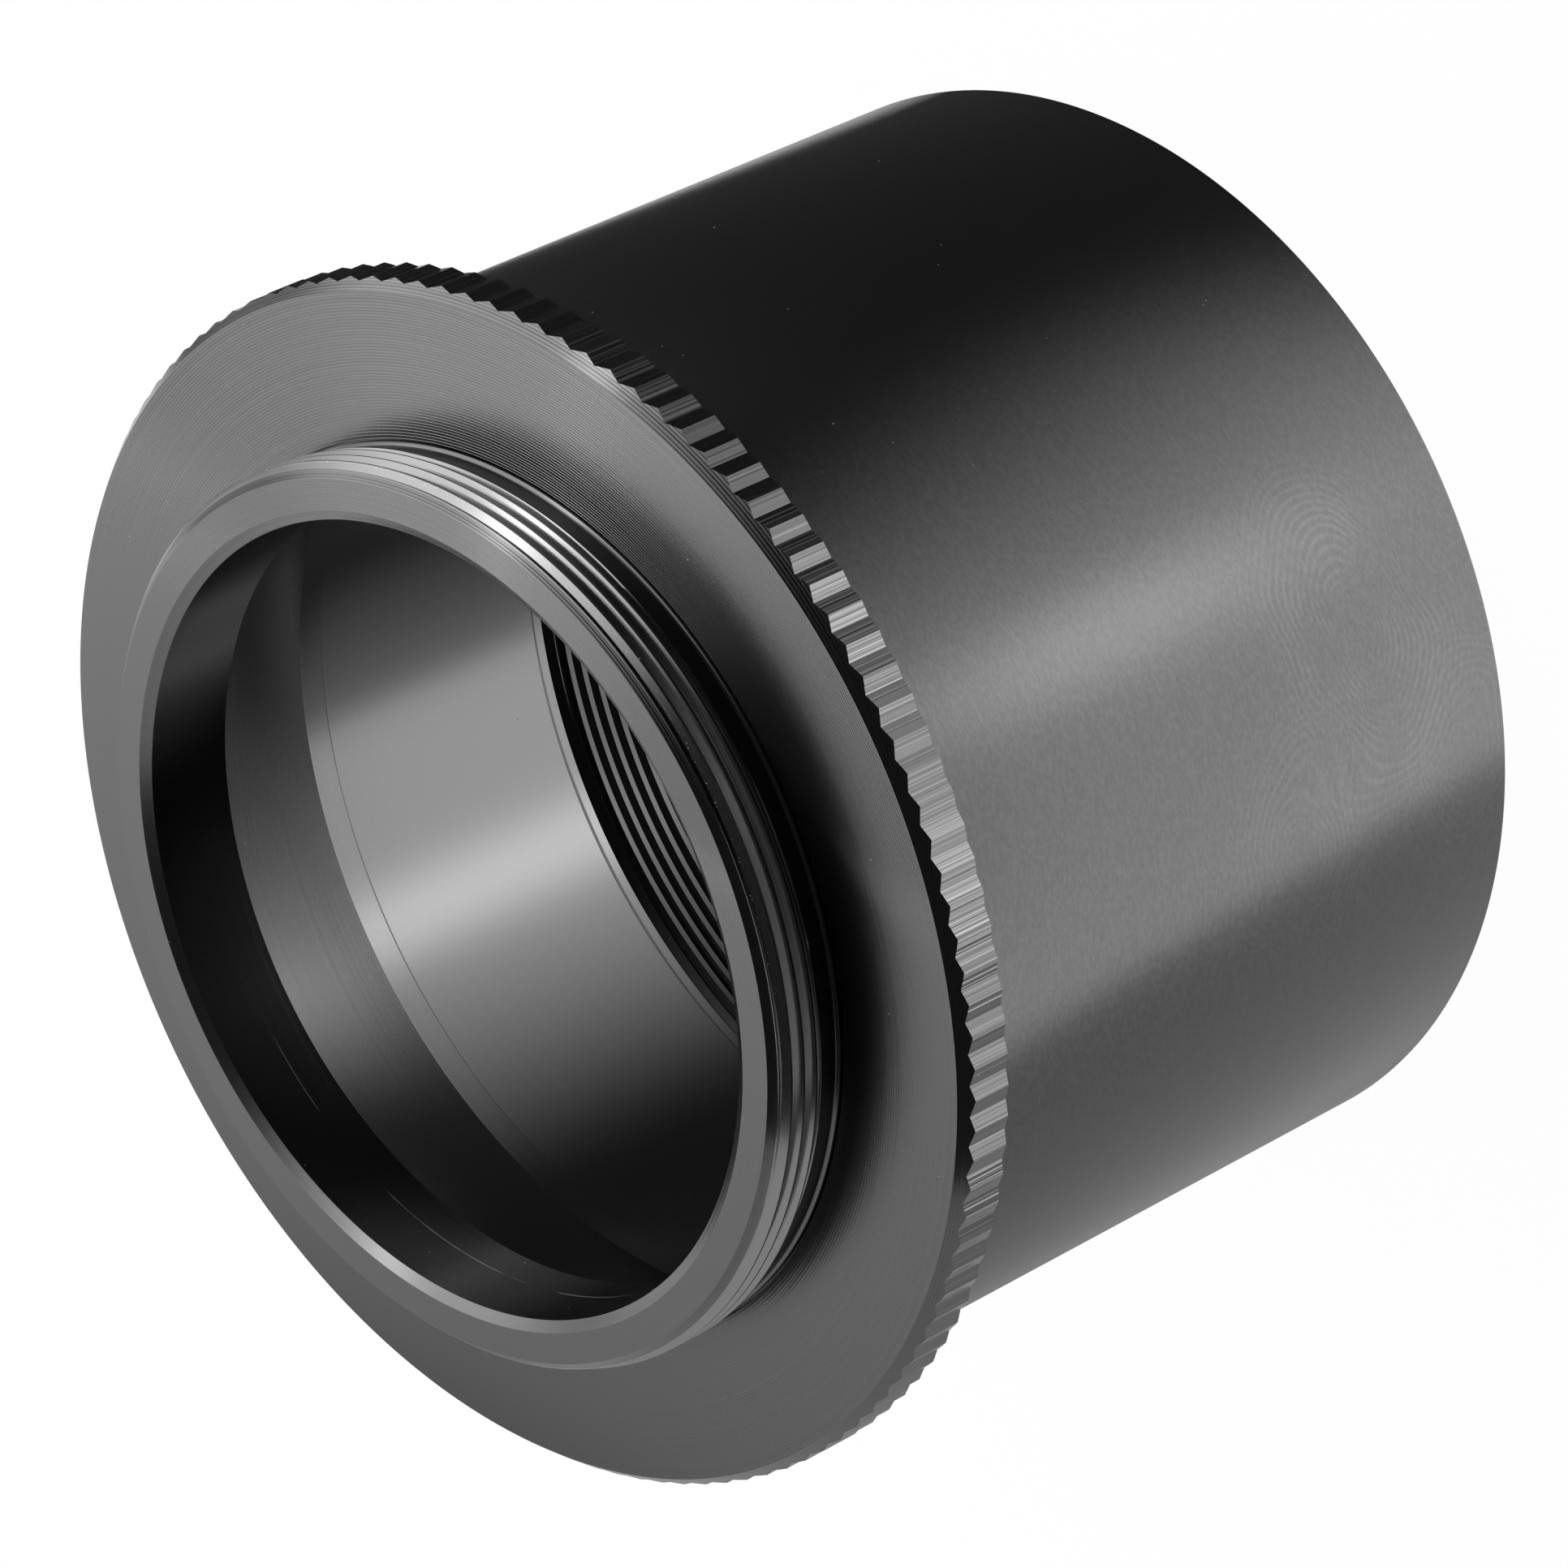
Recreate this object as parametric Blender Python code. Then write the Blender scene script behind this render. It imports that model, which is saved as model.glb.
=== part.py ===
"""Camera adapter for a telescope: one turned and anodised aluminium body.

A smooth barrel slides into the focuser. A knurled flange stops it there and is the grip.
A short threaded boss in front of the flange carries the camera ring. The bore opens from
a narrow throat in the boss through a cone into a wide chamber, whose rear end is cut for
a filter thread. Both threads are plain here, at the diameter that the mating part meets.

The part stands on its barrel's rear rim. The origin is the middle of that rim, and +Z
runs along the axis towards the boss.
"""
import math

import bmesh
import bpy

MM = 0.001

# Barrel that goes into the focuser
BARREL_DIAMETER = 50.8 * MM
BARREL_LENGTH = 35.1 * MM
BARREL_EDGE_CHAMFER = 0.15 * MM

# Flange with its knurled rim
FLANGE_DIAMETER = 56.0 * MM
FLANGE_THICKNESS = 2.6 * MM
FLANGE_CHAMFER_WIDTH = 0.5 * MM
FLANGE_CHAMFER_HEIGHT = 0.62 * MM
KNURL_TEETH = 120
KNURL_DEPTH = 0.16 * MM
KNURL_START_ANGLE = math.radians(0.5)

# Boss with the camera ring's thread, which ends in a relief groove at the flange
BOSS_THREAD_DIAMETER = 42.0 * MM
BOSS_HEIGHT = 4.05 * MM
BOSS_CHAMFER = 0.6 * MM
BOSS_GROOVE_DIAMETER = 40.6 * MM
BOSS_GROOVE_WIDTH = 1.55 * MM
BOSS_GROOVE_RAMP = 0.7 * MM
BOSS_GROOVE_FILLET = 0.75 * MM

# Throat in the boss, and the cone behind it
THROAT_DIAMETER = 36.9 * MM
THROAT_DEPTH = 4.7 * MM
THROAT_CHAMFER_WIDTH = 0.5 * MM
THROAT_CHAMFER_HEIGHT = 0.3 * MM
CONE_LENGTH = 8.85 * MM
COLLAR_DIAMETER = 46.2 * MM
COLLAR_LENGTH = 1.6 * MM

# Chamber, and the filter thread with its relief groove behind it
CHAMBER_DIAMETER = 46.8 * MM
FILTER_THREAD_DEPTH = 11.9 * MM
FILTER_THREAD_BORE = 47.2 * MM
FILTER_GROOVE_DIAMETER = 48.4 * MM
FILTER_GROOVE_WIDTH = 1.15 * MM
FILTER_MOUTH_CHAMFER = 0.4 * MM

# Fineness of the round forms
TURN_STEPS = 120
FILLET_STEPS = 6

# The knurling tool's ring is wider and longer than the rim that it cuts
TOOL_MARGIN = 1.0 * MM
KNURL_STOCK = 0.03 * MM

ANODISED_BLACK = (0.012, 0.012, 0.013, 1.0)
ANODISED_ROUGHNESS = 0.3


def clear_scene():
    """Starts from an empty file, whatever is open."""
    for thing in list(bpy.data.objects):
        bpy.data.objects.remove(thing, do_unlink=True)


def anodised_aluminium():
    """Black anodised aluminium with a satin surface."""
    material = bpy.data.materials.new("black_anodised_aluminium")
    material.use_nodes = True
    shader = material.node_tree.nodes["Principled BSDF"]
    shader.inputs["Base Color"].default_value = ANODISED_BLACK
    shader.inputs["Roughness"].default_value = ANODISED_ROUGHNESS
    shader.inputs["Metallic"].default_value = 0.0
    return material


def fillet(corner_radius, corner_z, size):
    """Quarter arc that turns from a flat face, coming inwards, up into a wall."""
    points = []
    for step in range(FILLET_STEPS + 1):
        angle = 0.5 * math.pi * step / FILLET_STEPS
        radius = corner_radius + size * (1.0 - math.sin(angle))
        height = corner_z + size * (1.0 - math.cos(angle))
        points.append((radius, height))
    return points


def outer_profile():
    """Outside of the body as (radius, height), from the rear rim up to the boss."""
    barrel = BARREL_DIAMETER / 2
    flange = FLANGE_DIAMETER / 2 + KNURL_STOCK
    chamfer_slope = FLANGE_CHAMFER_HEIGHT / FLANGE_CHAMFER_WIDTH
    face_radius = FLANGE_DIAMETER / 2 - FLANGE_CHAMFER_WIDTH
    face = BARREL_LENGTH + FLANGE_THICKNESS
    groove = BOSS_GROOVE_DIAMETER / 2
    thread = BOSS_THREAD_DIAMETER / 2
    top = face + BOSS_HEIGHT
    points = [
        (barrel - BARREL_EDGE_CHAMFER, 0.0),
        (barrel, BARREL_EDGE_CHAMFER),
        (barrel, BARREL_LENGTH),
        (flange, BARREL_LENGTH),
        (flange, face - (flange - face_radius) * chamfer_slope),
        (face_radius, face),
    ]
    points += fillet(groove, face, BOSS_GROOVE_FILLET)
    points += [
        (groove, face + BOSS_GROOVE_WIDTH - BOSS_GROOVE_RAMP),
        (thread, face + BOSS_GROOVE_WIDTH),
        (thread, top - BOSS_CHAMFER),
        (thread - BOSS_CHAMFER, top),
    ]
    return points


def inner_profile():
    """Inside of the body as (radius, height), from the throat's mouth down to the rear rim."""
    top = BARREL_LENGTH + FLANGE_THICKNESS + BOSS_HEIGHT
    throat = THROAT_DIAMETER / 2
    throat_end = top - THROAT_DEPTH
    collar = COLLAR_DIAMETER / 2
    collar_start = throat_end - CONE_LENGTH
    collar_end = collar_start - COLLAR_LENGTH
    chamber = CHAMBER_DIAMETER / 2
    groove = FILTER_GROOVE_DIAMETER / 2
    groove_start = FILTER_THREAD_DEPTH + FILTER_GROOVE_WIDTH
    thread = FILTER_THREAD_BORE / 2
    return [
        (throat + THROAT_CHAMFER_WIDTH, top),
        (throat, top - THROAT_CHAMFER_HEIGHT),
        (throat, throat_end),
        (collar, collar_start),
        (collar, collar_end + (chamber - collar)),
        (chamber, collar_end),
        (chamber, groove_start + (groove - chamber) / 2),
        (groove, groove_start - (groove - chamber) / 2),
        (groove, FILTER_THREAD_DEPTH + (groove - thread) / 2),
        (thread, FILTER_THREAD_DEPTH - (groove - thread) / 2),
        (thread, FILTER_MOUTH_CHAMFER),
        (thread + FILTER_MOUTH_CHAMFER, 0.0),
    ]


def turned_mesh(name, profile):
    """Closed solid made by turning a closed profile once round the axis."""
    form = bmesh.new()
    points = [form.verts.new((radius, 0.0, height)) for radius, height in profile]
    edges = [form.edges.new((a, b)) for a, b in zip(points, points[1:] + points[:1])]
    bmesh.ops.spin(
        form,
        geom=points + edges,
        cent=(0.0, 0.0, 0.0),
        axis=(0.0, 0.0, 1.0),
        angle=2 * math.pi,
        steps=TURN_STEPS,
        use_merge=True,
        use_duplicate=False,
    )
    bmesh.ops.recalc_face_normals(form, faces=form.faces)
    mesh = bpy.data.meshes.new(name)
    form.to_mesh(mesh)
    form.free()
    return mesh


def knurl_tool():
    """Ring whose inner wall is toothed: what it leaves of the flange's rim is the knurl."""
    crest = FLANGE_DIAMETER / 2
    root = crest - KNURL_DEPTH
    outside = crest + KNURL_STOCK + TOOL_MARGIN
    corners = 2 * KNURL_TEETH
    levels = (BARREL_LENGTH - TOOL_MARGIN, BARREL_LENGTH + FLANGE_THICKNESS + TOOL_MARGIN)
    form = bmesh.new()
    rings = []
    for height in levels:
        inner_ring = []
        outer_ring = []
        for corner in range(corners):
            angle = KNURL_START_ANGLE + 2 * math.pi * corner / corners
            inner = crest if corner % 2 == 0 else root
            inner_ring.append(form.verts.new((inner * math.cos(angle), inner * math.sin(angle), height)))
            outer_ring.append(form.verts.new((outside * math.cos(angle), outside * math.sin(angle), height)))
        rings.append((inner_ring, outer_ring))
    (low_inner, low_outer), (high_inner, high_outer) = rings
    for this in range(corners):
        following = (this + 1) % corners
        for first, second in ((low_inner, high_inner), (high_inner, high_outer), (high_outer, low_outer), (low_outer, low_inner)):
            form.faces.new((first[this], first[following], second[following], second[this]))
    bmesh.ops.recalc_face_normals(form, faces=form.faces)
    mesh = bpy.data.meshes.new("knurl_tool")
    form.to_mesh(mesh)
    form.free()
    tool = bpy.data.objects.new("knurl_tool", mesh)
    tool.hide_render = True
    tool.display_type = "WIRE"
    bpy.context.scene.collection.objects.link(tool)
    return tool


def adapter_body():
    """The whole adapter: turned in one piece, then knurled on the flange's rim."""
    mesh = turned_mesh("adapter_body", outer_profile() + inner_profile())
    mesh.shade_smooth()
    mesh.set_sharp_from_angle(angle=math.radians(20.0))
    body = bpy.data.objects.new("adapter_body", mesh)
    bpy.context.scene.collection.objects.link(body)
    body.data.materials.append(anodised_aluminium())
    knurl = body.modifiers.new("knurl", "BOOLEAN")
    knurl.operation = "DIFFERENCE"
    knurl.solver = "EXACT"
    knurl.object = knurl_tool()
    return body


clear_scene()
adapter_body()
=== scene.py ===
"""Looks for the telescope camera adapter: turned, knurled and threaded, in black anodising.

Four rings stand for the CAD body: the focuser barrel with the bore, the knurled flange,
the threaded boss, and the ring that holds the filter thread. They meet where one cut of
the lathe ends and the next begins, and overlap where nobody can see.
"""
import math

import bmesh
import bpy
from mathutils import Matrix, Vector


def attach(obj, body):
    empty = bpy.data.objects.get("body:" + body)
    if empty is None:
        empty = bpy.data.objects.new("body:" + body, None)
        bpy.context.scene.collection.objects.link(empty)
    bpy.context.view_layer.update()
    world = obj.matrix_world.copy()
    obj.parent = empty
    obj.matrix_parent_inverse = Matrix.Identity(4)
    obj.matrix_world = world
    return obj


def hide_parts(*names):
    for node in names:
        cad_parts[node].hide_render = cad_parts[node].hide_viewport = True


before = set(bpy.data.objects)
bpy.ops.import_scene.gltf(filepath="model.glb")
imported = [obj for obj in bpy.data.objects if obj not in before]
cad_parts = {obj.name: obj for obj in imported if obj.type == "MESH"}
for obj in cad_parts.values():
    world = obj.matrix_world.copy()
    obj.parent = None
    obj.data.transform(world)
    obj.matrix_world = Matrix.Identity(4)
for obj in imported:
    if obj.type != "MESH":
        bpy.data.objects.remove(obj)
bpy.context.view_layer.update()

MM = 0.001
TURN = 2 * math.pi

# Heights of the main faces above the rear rim
FLANGE_BACK = 35.1 * MM
FLANGE_FACE = 37.7 * MM
BOSS_FACE = 41.75 * MM

# Radii of the outside
BARREL_RADIUS = 25.4 * MM
BARREL_EDGE = 0.15 * MM
KNURL_CREST_RADIUS = 28.0 * MM
FLANGE_FACE_RADIUS = 27.5 * MM
FLANGE_CHAMFER_HEIGHT = 0.62 * MM
BOSS_THREAD_RADIUS = 21.0 * MM
BOSS_FACE_RADIUS = 20.4 * MM

# Foot of the boss, and the two steps of its chamfer
FOOT_RADIUS = 20.775 * MM
FOOT_FILLET = 0.2 * MM
FOOT_TOP = FLANGE_FACE + 0.85 * MM
GROOVE_TOP_RADIUS = 20.45 * MM
CHAMFER_FOOT = 41.15 * MM
CHAMFER_STEP_RADIUS = 20.72 * MM
CHAMFER_STEP_HEIGHT = 41.43 * MM

# Radii and heights of the bore
THROAT_RADIUS = 18.45 * MM
THROAT_MOUTH_RADIUS = 18.95 * MM
THROAT_CHAMFER_HEIGHT = 0.3 * MM
THROAT_END = 37.05 * MM
COLLAR_RADIUS = 23.1 * MM
COLLAR_START = 28.2 * MM
COLLAR_END = 26.6 * MM
CHAMBER_RADIUS = 23.4 * MM
FILTER_GROOVE_RADIUS = 24.2 * MM
FILTER_GROOVE_START = 13.05 * MM
FILTER_GROOVE_END = 12.2 * MM
FILTER_CREST_RADIUS = 23.6 * MM
FILTER_SEAT_RADIUS = 24.35 * MM

# Hidden walls, where one piece reaches a few laps into the next
LAP = 0.1 * MM
BARREL_SHOULDER_RADIUS = 21.2 * MM
FLANGE_BORE_RADIUS = 20.9 * MM
BOSS_ROOT_RADIUS = 20.8 * MM
THROAT_SEAM_RADIUS = 18.9 * MM
FILTER_RING_RADIUS = 24.5 * MM

# Both threads
THREAD_PITCH = 0.75 * MM
THREAD_DEPTH = 0.46 * MM
THREAD_CREST_FLAT = 0.094 * MM
FILTER_CREST_FLAT = 0.281 * MM
BOSS_FIRST_CREST = FLANGE_FACE + 2.51 * MM
FILTER_FIRST_CREST = 5.0 * MM
FLANK_SLOPE = math.tan(math.radians(60.0))

# Fineness of the round forms and the threads
TURN_COLUMNS = 480
FILTER_COLUMNS = 360
BOSS_ROWS_PER_PITCH = 24
FILTER_ROWS_PER_PITCH = 16
EDGE_ANGLE = math.radians(24.0)
KNURL_EDGE_ANGLE = math.radians(1.5)
MERGE_DISTANCE = 0.0015 * MM


def new_node(tree, kind, **settings):
    """Adds a node and sets its plain properties."""
    node = tree.nodes.new(kind)
    for key, value in settings.items():
        setattr(node, key, value)
    return node


def plug(tree, socket, value):
    """Feeds a socket from another socket, or gives it a plain value."""
    if isinstance(value, bpy.types.NodeSocket):
        tree.links.new(value, socket)
    else:
        socket.default_value = value


def calc(tree, operation, *values):
    """One step of arithmetic."""
    node = new_node(tree, "ShaderNodeMath", operation=operation)
    for socket, value in zip(node.inputs, values):
        plug(tree, socket, value)
    return node.outputs[0]


def vector_calc(tree, operation, *values):
    """One step of arithmetic on vectors."""
    node = new_node(tree, "ShaderNodeVectorMath", operation=operation)
    sockets = node.inputs
    if operation == "SCALE":
        sockets = (node.inputs["Vector"], node.inputs["Scale"])
    for socket, value in zip(sockets, values):
        plug(tree, socket, value)
    is_number = operation in {"DOT_PRODUCT", "LENGTH", "DISTANCE"}
    return node.outputs["Value"] if is_number else node.outputs["Vector"]


def ramp(tree, value, start, end, low=0.0, high=1.0):
    """Carries a value softly from low to high while it goes from start to end."""
    node = new_node(tree, "ShaderNodeMapRange", interpolation_type="SMOOTHSTEP", clamp=True)
    for name, amount in (
        ("Value", value),
        ("From Min", start),
        ("From Max", end),
        ("To Min", low),
        ("To Max", high),
    ):
        plug(tree, node.inputs[name], amount)
    return node.outputs["Result"]


def noise(tree, place, scale, detail=2.0, dimensions="3D", roughness=0.5):
    """Smooth noise from 0 to 1 at a place in space, or along one number."""
    node = new_node(tree, "ShaderNodeTexNoise", noise_dimensions=dimensions)
    plug(tree, node.inputs["W" if dimensions == "1D" else "Vector"], place)
    plug(tree, node.inputs["Scale"], scale)
    node.inputs["Detail"].default_value = detail
    node.inputs["Roughness"].default_value = roughness
    return node.outputs["Fac"]


def swing(tree, value, reach):
    """Carries a value from 0 to 1 over to a swing of the reach to both sides of zero."""
    return calc(tree, "MULTIPLY_ADD", value, 2.0 * reach, -reach)


def mix_colour(tree, share, first, second):
    """Blends two colours."""
    node = new_node(tree, "ShaderNodeMix", data_type="RGBA")
    plug(tree, node.inputs["Factor"], share)
    plug(tree, node.inputs["A"], first)
    plug(tree, node.inputs["B"], second)
    return node.outputs["Result"]


def add_sockets(tree, inputs, outputs):
    """Names the inputs and outputs of a node group."""
    for name, kind, value in inputs:
        socket = tree.interface.new_socket(name=name, in_out="INPUT", socket_type=kind)
        if value is not None:
            socket.default_value = value
    for name, kind in outputs:
        tree.interface.new_socket(name=name, in_out="OUTPUT", socket_type=kind)
    return new_node(tree, "NodeGroupInput").outputs, new_node(tree, "NodeGroupOutput").inputs


# Mesh work shared by the pieces


def lathe(form, profile, columns, closed):
    """Turns a profile of (radius, height, finish) once round the axis.

    The finish of a point is the material number of the band that starts there.
    """
    rings = []
    for radius, height, _ in profile:
        ring = []
        for column in range(columns):
            angle = TURN * column / columns
            ring.append(form.verts.new((radius * math.cos(angle), radius * math.sin(angle), height)))
        rings.append(ring)
    bands = len(rings) if closed else len(rings) - 1
    for band in range(bands):
        lower = rings[band]
        upper = rings[(band + 1) % len(rings)]
        for column in range(columns):
            after = (column + 1) % columns
            face = form.faces.new((lower[column], lower[after], upper[after], upper[column]))
            face.material_index = profile[band][2]


def arc(centre_radius, centre_height, size, start, end, steps, finish):
    """Points on a rounded edge or fillet, from one angle to another in degrees."""
    points = []
    for step in range(steps + 1):
        angle = math.radians(start + (end - start) * step / steps)
        radius = centre_radius + size * math.cos(angle)
        height = centre_height + size * math.sin(angle)
        points.append((radius, height, finish))
    return points


def finish_mesh(mesh, form, edge_angle=EDGE_ANGLE):
    """Merges what meets, turns the faces outwards and marks the real edges as sharp."""
    bmesh.ops.remove_doubles(form, verts=form.verts, dist=MERGE_DISTANCE)
    bmesh.ops.dissolve_degenerate(form, edges=form.edges, dist=0.1 * MERGE_DISTANCE)
    bmesh.ops.recalc_face_normals(form, faces=form.faces)
    form.to_mesh(mesh)
    form.free()
    mesh.shade_smooth()
    mesh.set_sharp_from_angle(angle=edge_angle)


def plain_mesh(name, form):
    """Keeps a form as a mesh, just as it is."""
    mesh = bpy.data.meshes.new(name)
    form.to_mesh(mesh)
    form.free()
    return mesh


def new_object(name, mesh, materials):
    """Puts a mesh in the scene, with its materials in order."""
    thing = bpy.data.objects.new(name, mesh)
    bpy.context.scene.collection.objects.link(thing)
    for material in materials:
        mesh.materials.append(material)
    return thing


def apply_tree(thing, tree, values, edge_angle=EDGE_ANGLE):
    """Runs a geometry tree on an object and keeps the result as its plain mesh."""
    modifier = thing.modifiers.new(tree.name, "NODES")
    modifier.node_group = tree
    for item in tree.interface.items_tree:
        if item.item_type == "SOCKET" and item.in_out == "INPUT" and item.name in values:
            modifier[item.identifier] = values[item.name]
    bpy.context.view_layer.update()
    evaluated = thing.evaluated_get(bpy.context.evaluated_depsgraph_get())
    result = bpy.data.meshes.new_from_object(evaluated)
    thing.modifiers.remove(modifier)
    thing.data = result
    form = bmesh.new()
    form.from_mesh(result)
    finish_mesh(result, form, edge_angle)


def dress(piece):
    """Puts a finished piece in place of the CAD body."""
    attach(piece, "root")
    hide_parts("adapter_body")


# Geometry trees


def thread_tree():
    """One helical wall: rows follow the helix, and are clamped at both ends.

    The wall drops away from the crest by the depth of the V, or by the bevel at an end. Where
    the V is deeper than that bevel, the end of the wall stays open under the band beside it.
    """
    tree = bpy.data.node_groups.new("thread_wall", "GeometryNodeTree")
    given, result = add_sockets(
        tree,
        (
            ("Geometry", "NodeSocketGeometry", None),
            ("Columns", "NodeSocketInt", TURN_COLUMNS),
            ("Rows", "NodeSocketInt", 100),
            ("Row height", "NodeSocketFloat", 0.0),
            ("Lowest row", "NodeSocketFloat", 0.0),
            ("Pitch", "NodeSocketFloat", THREAD_PITCH),
            ("Depth", "NodeSocketFloat", THREAD_DEPTH),
            ("Crest flat", "NodeSocketFloat", THREAD_CREST_FLAT),
            ("Crest radius", "NodeSocketFloat", BOSS_THREAD_RADIUS),
            ("Crest height", "NodeSocketFloat", 0.0),
            ("Side", "NodeSocketFloat", -1.0),
            ("Start", "NodeSocketFloat", 0.0),
            ("Start bevel", "NodeSocketFloat", 0.0),
            ("End", "NodeSocketFloat", 0.0),
            ("End bevel", "NodeSocketFloat", 0.0),
            ("Merge distance", "NodeSocketFloat", MERGE_DISTANCE),
            ("Material", "NodeSocketMaterial", None),
        ),
        (("Geometry", "NodeSocketGeometry"),),
    )
    grid = new_node(tree, "GeometryNodeMeshGrid")
    plug(tree, grid.inputs["Vertices X"], calc(tree, "ADD", given["Columns"], 1.0))
    plug(tree, grid.inputs["Vertices Y"], calc(tree, "ADD", given["Rows"], 1.0))
    grid.inputs["Size X"].default_value = 1.0
    grid.inputs["Size Y"].default_value = 1.0
    flat = new_node(tree, "ShaderNodeSeparateXYZ")
    tree.links.new(new_node(tree, "GeometryNodeInputPosition").outputs[0], flat.inputs[0])
    turn = calc(tree, "ADD", flat.outputs["X"], 0.5)
    lift = calc(tree, "MULTIPLY", turn, given["Pitch"])
    share = calc(tree, "ADD", flat.outputs["Y"], 0.5)
    span = calc(tree, "MULTIPLY", given["Rows"], given["Row height"])
    row = calc(tree, "MULTIPLY_ADD", share, span, given["Lowest row"])
    height = calc(tree, "ADD", row, lift)
    height = calc(tree, "MAXIMUM", calc(tree, "MINIMUM", height, given["End"]), given["Start"])
    along = calc(tree, "SUBTRACT", calc(tree, "SUBTRACT", height, lift), given["Crest height"])
    counted = calc(tree, "DIVIDE", along, given["Pitch"])
    from_crest = calc(tree, "SUBTRACT", counted, calc(tree, "ROUND", counted))
    from_crest = calc(tree, "MULTIPLY", calc(tree, "ABSOLUTE", from_crest), given["Pitch"])
    past_flat = calc(tree, "MULTIPLY_ADD", given["Crest flat"], -0.5, from_crest)
    drop = calc(tree, "MULTIPLY", past_flat, FLANK_SLOPE)
    drop = calc(tree, "MINIMUM", calc(tree, "MAXIMUM", drop, 0.0), given["Depth"])
    start_edge = calc(tree, "ADD", given["Start"], given["Start bevel"])
    end_edge = calc(tree, "SUBTRACT", given["End"], given["End bevel"])
    drop = calc(tree, "MAXIMUM", drop, calc(tree, "SUBTRACT", start_edge, height))
    drop = calc(tree, "MAXIMUM", drop, calc(tree, "SUBTRACT", height, end_edge))
    radius = calc(tree, "MULTIPLY_ADD", drop, given["Side"], given["Crest radius"])
    angle = calc(tree, "MULTIPLY", turn, TURN)
    place = new_node(tree, "ShaderNodeCombineXYZ")
    plug(tree, place.inputs["X"], calc(tree, "MULTIPLY", radius, calc(tree, "COSINE", angle)))
    plug(tree, place.inputs["Y"], calc(tree, "MULTIPLY", radius, calc(tree, "SINE", angle)))
    plug(tree, place.inputs["Z"], height)
    wall = new_node(tree, "GeometryNodeSetPosition")
    plug(tree, wall.inputs["Geometry"], grid.outputs["Mesh"])
    plug(tree, wall.inputs["Position"], place.outputs[0])
    mark = new_node(tree, "GeometryNodeStoreNamedAttribute", data_type="BOOLEAN", domain="FACE")
    plug(tree, mark.inputs["Geometry"], wall.outputs[0])
    mark.inputs["Name"].default_value = "cut_by_rule"
    mark.inputs["Value"].default_value = True
    join = new_node(tree, "GeometryNodeJoinGeometry")
    tree.links.new(mark.outputs[0], join.inputs[0])
    tree.links.new(given["Geometry"], join.inputs[0])
    close_and_finish(tree, join.outputs[0], given, result)
    return tree


def close_and_finish(tree, shape, given, result):
    """Ends a tree: realised, merged at its seams, and the new faces in their material."""
    real = new_node(tree, "GeometryNodeRealizeInstances")
    plug(tree, real.inputs[0], shape)
    merge = new_node(tree, "GeometryNodeMergeByDistance")
    plug(tree, merge.inputs["Geometry"], real.outputs[0])
    plug(tree, merge.inputs["Distance"], given["Merge distance"])
    marked = new_node(tree, "GeometryNodeInputNamedAttribute", data_type="BOOLEAN")
    marked.inputs["Name"].default_value = "cut_by_rule"
    paint = new_node(tree, "GeometryNodeSetMaterial")
    plug(tree, paint.inputs["Geometry"], merge.outputs[0])
    plug(tree, paint.inputs["Selection"], marked.outputs["Attribute"])
    plug(tree, paint.inputs["Material"], given["Material"])
    tree.links.new(paint.outputs[0], result["Geometry"])


def knurl_tree():
    """Repeats one tooth of the flange round the axis."""
    tree = bpy.data.node_groups.new("knurl_round", "GeometryNodeTree")
    given, result = add_sockets(
        tree,
        (
            ("Geometry", "NodeSocketGeometry", None),
            ("Teeth", "NodeSocketInt", 120),
            ("First crest", "NodeSocketFloat", 0.0),
            ("Merge distance", "NodeSocketFloat", MERGE_DISTANCE),
            ("Material", "NodeSocketMaterial", None),
        ),
        (("Geometry", "NodeSocketGeometry"),),
    )
    line = new_node(tree, "GeometryNodeMeshLine")
    plug(tree, line.inputs["Count"], given["Teeth"])
    line.inputs["Offset"].default_value = (0.0, 0.0, 0.0)
    index = new_node(tree, "GeometryNodeInputIndex").outputs[0]
    step = calc(tree, "DIVIDE", TURN, given["Teeth"])
    turn = new_node(tree, "ShaderNodeCombineXYZ")
    plug(tree, turn.inputs["Z"], calc(tree, "MULTIPLY_ADD", index, step, given["First crest"]))
    copies = new_node(tree, "GeometryNodeInstanceOnPoints")
    plug(tree, copies.inputs["Points"], line.outputs["Mesh"])
    plug(tree, copies.inputs["Instance"], given["Geometry"])
    plug(tree, copies.inputs["Rotation"], turn.outputs[0])
    close_and_finish(tree, copies.outputs[0], given, result)
    return tree


# Shader groups

# Unevenness of the turned cuts and of the rolled lines
CUT_SCALE = 0.45
CUT_ROUGHNESS = 0.7
CUT_REACH = 2.0
CUT_WANDER = 0.2
PATCH_SCALE = 90.0
LINE_ROUGHNESS = 0.6

# Each ramp: its start and end, then its low and high value where they aren't 0 and 1
LINE_RAMP = (-0.5, 0.7)
RIDGE_RAMP = (-0.4, 0.9)
PORE_RAMP = (0.35, 0.6, 0.6, 1.0)
SMEAR_RAMP = (0.3, 0.5, 0.2, 1.0)
PRINT_MIDDLE_RAMP = (0.5 * MM, 2.5 * MM, 0.3, 1.0)
SCRATCH_GAP_RAMP = (0.42, 0.55)
SCRATCH_SIDE_RAMP = (4.0 * MM, 0.0)

# Solid share of a dust speck, and how rare and how sharp the nicks are
SPECK_CORE = 0.6
NICK_LEVEL = 0.8
NICK_EDGE = 0.03

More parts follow.
